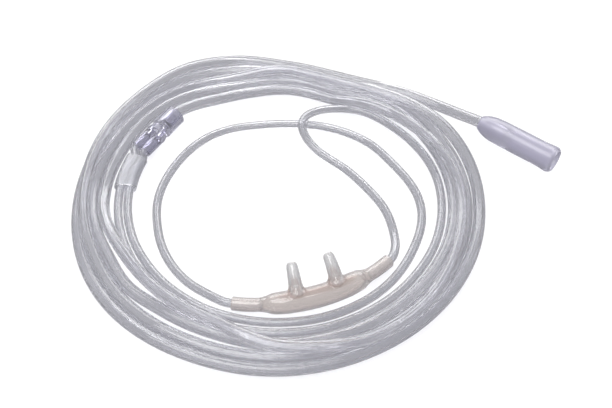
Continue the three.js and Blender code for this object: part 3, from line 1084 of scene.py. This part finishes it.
    def mark(self) -> bpy.types.Object:
        """Make the small ring that is moulded on the body's front.

        Returns:
            The dressed ring.
        """
        angles = np.linspace(0, 2 * math.pi, 40, endpoint=False)
        small = np.linspace(0, 2 * math.pi, 8, endpoint=False)
        half_length, half_width = self.mark_size
        size = 1 + self.mark_bead / half_length * np.cos(small)[None, :]
        middle = run_length(self.axis()) - self.mark_from_end
        along = middle + half_length * np.cos(angles)[:, None] * size
        angle = math.radians(self.mark_angle) + half_width / self.radius * np.sin(angles)[:, None] * size
        lift = self.mark_bead * np.sin(small)[None, :] * np.ones_like(along)
        shell = loft(self.skin(along, angle, lift), angles, closed=True)
        shell.vertices = self.place.put(shell.vertices)
        return MARK_VINYL.dress(shell.piece("mould_mark"))

    def build(self) -> bpy.types.Object:
        """Make the facepiece.

        Returns:
            The dressed piece.
        """
        outer, inner = self.body()
        piece = carved("soft_prong_piece", outer, inner, self.place, self.voxel, self.soft)
        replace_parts(FACE_VINYL.dress(piece), "nasal_prong_piece")
        self.mark()
        return piece


@dataclass
class SlideSleeve:
    """The frosted oval sleeve that slides along both headset tubes."""

    arc_radius: float = 66.9
    start: float = 161.5
    length: float = 18.0
    wall: float = 0.65
    tube_spacing: float = 4.1
    travel: float = 28.0
    lead_in: float = 1.6
    bore: float = 4.3
    edge: float = 0.2

    def height(self) -> float:
        """Give the height of the tubes' centres in the sleeve."""
        return self.bore / 2 + self.wall

    def tube_arc(self, side: Side, count: int = 9) -> list[tuple[float, float, float]]:
        """Run one tube along the arc that the sleeve can reach.

        Args:
            side: The tube; LEFT is the inner one.
            count: The number of places.

        Returns:
            The places in the layout.
        """
        radius = self.arc_radius + side.value * self.tube_spacing / 2
        first = self.start - self.lead_in
        last = self.start + math.degrees(self.length / self.arc_radius) + self.travel
        step = (last - first) / (count - 1)
        return [polar(radius, first + step * i, self.height()) for i in range(count)]

    def oval(self, radius: float, sides: int = 48) -> np.ndarray:
        """Draw an oval round both tubes.

        Args:
            radius: How far it stands from each tube's centre.
            sides: The number of places on it.

        Returns:
            The (across, up) places.
        """
        angles = np.linspace(0, 2 * math.pi, sides, endpoint=False)
        across = radius * np.cos(angles) + np.sign(np.cos(angles)) * self.tube_spacing / 2
        return np.stack([across, radius * np.sin(angles)], axis=1)

    def build(self) -> bpy.types.Object:
        """Make the sleeve along its arc.

        Returns:
            The dressed piece, on the sliding body.
        """
        sweep = math.degrees(self.length / self.arc_radius)
        outer, inner = self.oval(self.bore / 2 + self.wall), self.oval(self.bore / 2)
        soft = self.oval(self.bore / 2 + self.wall - self.edge)
        stations = [(0.0, soft), *((t, outer) for t in np.linspace(0.012, 0.988, 40)), (1.0, soft)]
        stations += [(t, inner) for t in np.linspace(1, 0, 42)]
        rings = np.empty((len(stations), len(outer), 3))
        for i, (share, outline) in enumerate(stations):
            angle = math.radians(self.start + sweep * share)
            radius = self.arc_radius + outline[:, 0]
            rings[i, :, 0] = radius * math.cos(angle)
            rings[i, :, 1] = radius * math.sin(angle)
            rings[i, :, 2] = self.height() + outline[:, 1]
        along = np.array([share * self.length for share, _ in stations])
        piece = loft(rings, along, closed=True, inward=True).piece("frosted_slide")
        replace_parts(SLEEVE_VINYL.dress(piece, SLIDE_BODY), "slide_sleeve")
        return piece


@dataclass
class SupplyTube:
    """The long star-lumen tube: out of the yoke, four turns clockwise, and a tail to the connector."""

    diameter: float = 5.2
    bore: float = 3.7
    length: float = 2.13
    floor: float = 2.65
    step: float = 2.2

    def lead(self) -> list[tuple[float, float, float]]:
        """Give the route's points from the yoke to the first full turn."""
        return [
            (-42.4, 51.4, 5.0), (-37.6, 54.6, 4.2), (-32.2, 57.3, 3.4), (-22.3, 61.3, self.floor),
            (-11.3, 64.1, self.floor),
        ]

    def tail(self) -> list[tuple[float, float, float]]:
        """Give the route's points from the last turn to the connector."""
        low = self.floor
        return [
            (0.5, 82.4, low), (12.5, 79.4, low), (23.0, 75.8, low), (34.0, 71.8, low), (45.5, 67.9, low),
            (56.8, 63.8, low), (66.0, 59.2, low), (74.0, 54.4, 2.9), (80.5, 49.6, 3.8), (86.5, 44.7, 5.1),
        ]

    def turns(self) -> list[tuple[float, float, float]]:
        """Wind the turns.

        A station is an angle round the coil, in degrees, and what passes there on each of the five rounds:
        the tube's distance from the coil's centre, or its distance and height where it lies on other turns
        or crosses a headset tube, or None where lead() or tail() runs instead.

        Returns:
            The route's points in winding order, clockwise.
        """
        stations = (
            (135, (None, 76.3, 81.6, 86.9, (86.0, 7.8))),
            (121, (None, 73.8, 79.6, 85.2, (87.3, 7.4))),
            (112, (None, 71.6, 77.3, 83.0, (87.6, 5.4))),
            (100, (None, 70.6, (75.2, 5.0), 79.9, (86.0, 3.2))),
            (90, (65.6, 71.4, (74.4, 7.2), 77.2, None)),
            (78, (64.7, 69.9, (72.4, 7.2), 75.1, None)),
            (67, (63.8, 69.0, (71.6, 7.2), 74.2, None)),
            (60, ((64.3, 4.6), 70.0, (72.8, 7.2), 75.4, None)),
            (52, ((65.7, 6.5), 72.2, (75.0, 7.2), 77.5, None)),
            (45, ((67.6, 6.9), 74.0, (77.4, 7.5), 79.3, None)),
            (28, ((72.3, 7.3), 75.0, (83.2, 7.1), 80.3, None)),
            (11, ((76.6, 7.3), 75.6, (86.2, 4.6), 80.9, None)),
            (-5, ((78.8, 7.2), 76.0, 86.8, 81.4, None)),
            (-22, ((80.4, 7.6), 76.0, 86.7, 81.4, None)),
            (-45, ((83.6, 7.2), 75.7, 86.3, 81.0, None)),
            (-66, ((83.2, 7.3), 75.5, 86.0, 80.7, None)),
            (-80, ((80.2, 7.8), 75.2, 86.0, 80.7, None)),
            (-90, ((77.9, 7.3), 75.0, 86.0, 80.7, None)),
            (-99, ((74.8, 7.8), 74.2, 85.9, 80.6, None)),
            (-108, ((71.4, 7.3), 73.6, 85.8, 80.5, None)),
            (-120, ((70.2, 6.6), 73.8, 86.2, 80.9, None)),
            (-130, ((70.1, 6.3), 74.6, 86.8, 81.5, None)),
            (-141, ((70.2, 6.3), 76.7, 87.2, 82.0, None)),
            (-153, ((71.6, 8.0), 76.9, 87.0, (82.1, 4.0), None)),
            (-165, ((73.7, 7.3), 78.6, 86.4, (82.8, 6.5), None)),
            (-180, (75.3, 80.5, 85.8, (83.2, 7.3), None)),
            (-203, (75.6, 80.9, 86.2, (84.7, 7.7), None)),
        )
        points = []
        rounds = len(stations[0][1])
        for turn in range(rounds):
            for angle, passes in stations:
                place = passes[turn]
                if place is None:
                    continue
                radius, height = place if isinstance(place, tuple) else (place, self.floor)
                points.append(polar(radius, angle, height))
        return points

    def path(self, yoke: Yoke, connector: OxygenConnector) -> np.ndarray:
        """Run the whole route.

        Args:
            yoke: The fitting that the tube leaves.
            connector: The fitting that it ends in.

        Returns:
            The tube's centre line in the layout.
        """
        start = [yoke.supply(depth) for depth in (yoke.supply_depth - 0.3, 4.0, -1.5)]
        end = [connector.axis(depth) for depth in (-1.5, 6.0, connector.tube_depth)]
        points = np.array([*start, *self.lead(), *self.turns(), *self.tail(), *end])
        return resting(spline(points, self.step), self.diameter)

    def build(self, yoke: Yoke, connector: OxygenConnector, plug: bpy.types.Object) -> bpy.types.Object:
        """Args:
            yoke: The fitting that the tube leaves.
            connector: The fitting that it ends in.
            plug: The connector's piece; not used.

        Returns:
            The dressed tube.
        """
        path = self.path(yoke, connector)
        LOG.info("supply tube runs %.1f mm", run_length(path))
        piece = Tube(path, self.diameter, self.bore, Lumen.STAR).build("supply_tube")
        TUBE_VINYL.dress(piece)
        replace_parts(piece, "supply_lead", "supply_coil", "supply_tail")
        tuple(LAYOUT.row(yoke.supply(0)))
        LAYOUT.row(path)
        return piece


@dataclass
class HeadsetTube:
    """One of the two thin tubes between the yoke and the prong piece."""

    side: Side
    diameter: float = 3.7
    bore: float = 2.2
    floor: float = 1.9
    step: float = 1.6

    @property
    def length(self) -> float:
        """Give the tube's real length in metres."""
        return {Side.LEFT: 0.477, Side.RIGHT: 0.455}[self.side]

    def route(self) -> list[tuple[float, ...]]:
        """Lay the free stretch, between the sleeve's arc and the facepiece.

        Returns:
            Its points, with no height where the tube lies on the surface.
        """
        if self.side is Side.LEFT:
            return [
                (-52.9, -37.0, 2.2), (-45.6, -45.6), (-37.0, -52.8), (-27.3, -58.5), (-16.7, -62.3),
                (-5.6, -64.3), (5.6, -64.4), (16.8, -62.7), (27.5, -59.0), (37.3, -53.4), (45.8, -45.9),
                (52.5, -36.9), (57.5, -26.9), (60.9, -16.3), (61.6, -6.5), (60.0, 2.0), (55.9, 10.9),
                (49.7, 20.4), (41.2, 30.8), (32.3, 37.0), (20.9, 41.5), (9.3, 43.3), (-1.0, 43.4),
                (-11.5, 42.4), (-22.9, 40.0), (-32.7, 34.9), (-40.8, 26.7), (-46.6, 17.0), (-50.6, 6.3),
                (-52.1, -3.5), (-51.3, -14.0), (-48.2, -26.6), (-42.4, -37.8), (-34.8, -46.3, 2.1),
                (-26.3, -52.3, 2.6),
            ]
        return [
            (-56.5, -39.5, 2.2), (-48.8, -48.8), (-39.6, -56.6), (-29.2, -62.6), (-17.9, -66.8),
            (-6.0, -69.0), (6.1, -69.2), (18.0, -67.4), (29.6, -63.4), (40.3, -57.5), (49.8, -49.8),
            (57.8, -40.5), (64.2, -30.0), (68.5, -18.4), (70.6, -6.2), (70.4, 6.2), (67.9, 17.5),
            (63.0, 28.0), (56.5, 37.0), (48.5, 44.8, 2.0), (39.5, 50.6, 2.3), (30.3, 52.2, 3.0),
            (23.0, 50.8, 4.2), (16.4, 48.0, 5.3), (11.8, 44.0, 5.95), (10.2, 39.3, 5.9),
            (11.2, 34.3, 5.1), (14.4, 28.8, 4.0), (18.8, 24.1, 3.0), (25.0, 19.3, 2.3), (30.2, 14.9),
            (35.7, 8.5), (40.7, 1.7), (45.1, -5.6), (47.7, -12.7), (49.0, -19.7), (49.4, -26.0, 2.3),
            (48.6, -31.0, 2.8),
        ]

    def path(self, yoke: Yoke, slide: SlideSleeve, face: NasalProngPiece) -> np.ndarray:
        """Run the whole route.

        Args:
            yoke: The fitting that the tube leaves.
            slide: The sleeve that it passes through.
            face: The facepiece that it ends in.

        Returns:
            The tube's centre line in the layout.
        """
        start = [yoke.twin(self.side, depth) for depth in (yoke.twin_depth - 0.3, yoke.twin_depth / 2, -1.5)]
        deep = face.socket_length
        end = [face.socket(self.side, depth) for depth in (-1.5, deep / 3, 2 * deep / 3, deep - 0.3)]
        free = [(*p, self.floor)[:3] for p in self.route()]
        points = np.array([*start, *slide.tube_arc(self.side), *free, *end])
        return resting(spline(points, self.step), self.diameter)

    def build(self, yoke: Yoke, slide: SlideSleeve, face: NasalProngPiece) -> bpy.types.Object:
        """Args:
            yoke: The fitting that the tube leaves.
            slide: The sleeve that it passes through.
            face: The facepiece that it ends in.

        Returns:
            The dressed tube.
        """
        path = self.path(yoke, slide, face)
        name = self.side.name.lower()
        LOG.info("%s headset tube runs %.1f mm", name, run_length(path))
        piece = Tube(path, self.diameter, self.bore, Lumen.ROUND).build(f"{name}_headset_tube")
        TUBE_VINYL.dress(piece)
        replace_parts(piece, f"headset_tube_{name}")
        tuple(LAYOUT.row(yoke.twin(self.side, 0)))
        LAYOUT.row(path)
        return piece


@dataclass
class Studio:
    """The camera at the photograph's angle, a pale surface and soft lights.

    focal and width are in pixels of the photograph, sensor in millimetres. The surface is white to the
    camera and grey to the tubes, whose clear edges would be lost against white.
    """

    focal: float = 967.1
    width: float = 612.0
    sensor: float = 36.0
    elevation: float = 50.72
    distance: float = 420.0
    target: tuple[float, float, float] = (12.11, -2.93, 0.0)
    horizon: tuple[float, float, float] = (0.16, 0.16, 0.19)
    zenith: tuple[float, float, float] = (1.0, 1.0, 1.0)
    zenith_at: float = 0.75
    room_light: float = 0.55
    surface_reach: float = 0.62
    surface_height: float = -0.0001
    surface_seen: tuple[float, float, float] = (0.95, 0.95, 0.95)
    surface_lit: tuple[float, float, float] = (0.37, 0.37, 0.385)

    def camera(self) -> None:
        """Set the camera where the photograph was taken from."""
        data = bpy.data.cameras.new("camera")
        data.sensor_width = self.sensor
        data.lens = self.focal / self.width * data.sensor_width
        data.clip_start = 0.01
        data.clip_end = 20.0
        camera = bpy.data.objects.new("camera", data)
        rise = math.radians(self.elevation)
        back = np.array([0, -math.cos(rise), math.sin(rise)])
        target = Vector(LAYOUT.row(np.array(self.target)))
        eye = Vector(LAYOUT.row(np.array(self.target) + self.distance * back))
        camera.location = eye
        camera.rotation_mode = "QUATERNION"
        camera.rotation_quaternion = (target - eye).to_track_quat("-Z", "Y")
        bpy.context.scene.collection.objects.link(camera)
        bpy.context.scene.camera = camera

    def lamp(
        self, name: str, place: tuple[float, float, float], size: tuple[float, float], power: float
    ) -> None:
        """Hang one soft light that points at the coil.

        Args:
            name: The light's name.
            place: Its place in the layout, in millimetres.
            size: Its sides in metres.
            power: Its strength in watts.
        """
        data = bpy.data.lights.new(name, "AREA")
        data.shape = "RECTANGLE"
        data.size, data.size_y = size
        data.energy = power
        lamp = bpy.data.objects.new(name, data)
        where = Vector(LAYOUT.row(np.array(place)))
        lamp.location = where
        aim = Vector(LAYOUT.row(np.array([0.0, 0.0, 0.0]))) - where
        lamp.rotation_mode = "QUATERNION"
        lamp.rotation_quaternion = aim.to_track_quat("-Z", "Y")
        bpy.context.scene.collection.objects.link(lamp)

    def surface(self) -> None:
        """Lay the pale surface."""
        reach, low = self.surface_reach, self.surface_height
        mesh = bpy.data.meshes.new("surface")
        corners = [(-reach, -reach, low), (reach, -reach, low), (reach, reach, low), (-reach, reach, low)]
        mesh.from_pydata(corners, [], [(0, 1, 2, 3)])
        obj = bpy.data.objects.new("surface", mesh)
        material = bpy.data.materials.new("surface_white")
        material.use_nodes = True
        nodes, links = material.node_tree.nodes, material.node_tree.links
        white = nodes["Principled BSDF"]
        white.inputs["Base Color"].default_value = (*self.surface_seen, 1)
        white.inputs["Roughness"].default_value = 0.9
        white.inputs["Specular IOR Level"].default_value = 0.1
        grey = nodes.new("ShaderNodeBsdfDiffuse")
        grey.inputs["Color"].default_value = (*self.surface_lit, 1)
        light = nodes.new("ShaderNodeLightPath")
        mix = nodes.new("ShaderNodeMixShader")
        links.new(light.outputs["Is Camera Ray"], mix.inputs[0])
        links.new(grey.outputs[0], mix.inputs[1])
        links.new(white.outputs[0], mix.inputs[2])
        links.new(mix.outputs[0], nodes["Material Output"].inputs["Surface"])
        mesh.materials.append(material)
        bpy.context.scene.collection.objects.link(obj)

    def surroundings(self) -> None:
        """Make the room: bright overhead, dim at the horizon, and white where the camera sees past it."""
        world = bpy.data.worlds.new("surroundings")
        world.use_nodes = True
        nodes, links = world.node_tree.nodes, world.node_tree.links
        place = nodes.new("ShaderNodeTexCoord")
        split = nodes.new("ShaderNodeSeparateXYZ")
        ramp = nodes.new("ShaderNodeValToRGB")
        links.new(place.outputs["Generated"], split.inputs[0])
        links.new(split.outputs[2], ramp.inputs[0])
        links.new(ramp.outputs[0], nodes["Background"].inputs["Color"])
        ramp.color_ramp.elements[0].position = 0.0
        ramp.color_ramp.elements[0].color = (*self.horizon, 1)
        ramp.color_ramp.elements[1].position = self.zenith_at
        ramp.color_ramp.elements[1].color = (*self.zenith, 1)
        nodes["Background"].inputs["Strength"].default_value = self.room_light
        backdrop = nodes.new("ShaderNodeBackground")
        backdrop.inputs["Color"].default_value = (1.0, 1.0, 1.0, 1)
        light = nodes.new("ShaderNodeLightPath")
        mix = nodes.new("ShaderNodeMixShader")
        links.new(light.outputs["Is Camera Ray"], mix.inputs[0])
        links.new(nodes["Background"].outputs[0], mix.inputs[1])
        links.new(backdrop.outputs[0], mix.inputs[2])
        links.new(mix.outputs[0], nodes["World Output"].inputs["Surface"])
        bpy.context.scene.world = world

    def build(self) -> None:
        """Set up the camera, the surface, the lights and the pale surroundings."""
        self.camera()
        self.surface()
        self.lamp("back_softbox", (-60, 780, 500), (1.2, 0.55), 6.5)
        self.lamp("front_softbox", (-160, -200, 880), (0.7, 0.6), 4.6)
        self.surroundings()
        scene = bpy.context.scene
        scene.view_settings.view_transform = "Standard"
        scene.view_settings.look = "None"
        scene.cycles.max_bounces = 26
        scene.cycles.transmission_bounces = 24
        scene.cycles.transparent_max_bounces = 32
        scene.cycles.glossy_bounces = 6
        scene.cycles.diffuse_bounces = 3
        scene.cycles.caustics_reflective = False
        scene.cycles.caustics_refractive = True


def main() -> None:
    """Build the cannula and its studio in order."""
    logging.basicConfig(level=logging.INFO, format="%(name)s: %(message)s")
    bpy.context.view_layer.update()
    Studio().build()
    yoke, connector = Yoke(), OxygenConnector()
    face, slide = NasalProngPiece(), SlideSleeve()
    plug = connector.build()
    LOG.info("built %s", plug.name)
    LOG.info("built %s", SupplyTube().build(yoke, connector, plug).name)
    for side in Side:
        LOG.info("built %s", HeadsetTube(side).build(yoke, slide, face).name)
    for part in (yoke, slide, face):
        LOG.info("built %s", part.build().name)


if __name__ == "__main__":
    main()
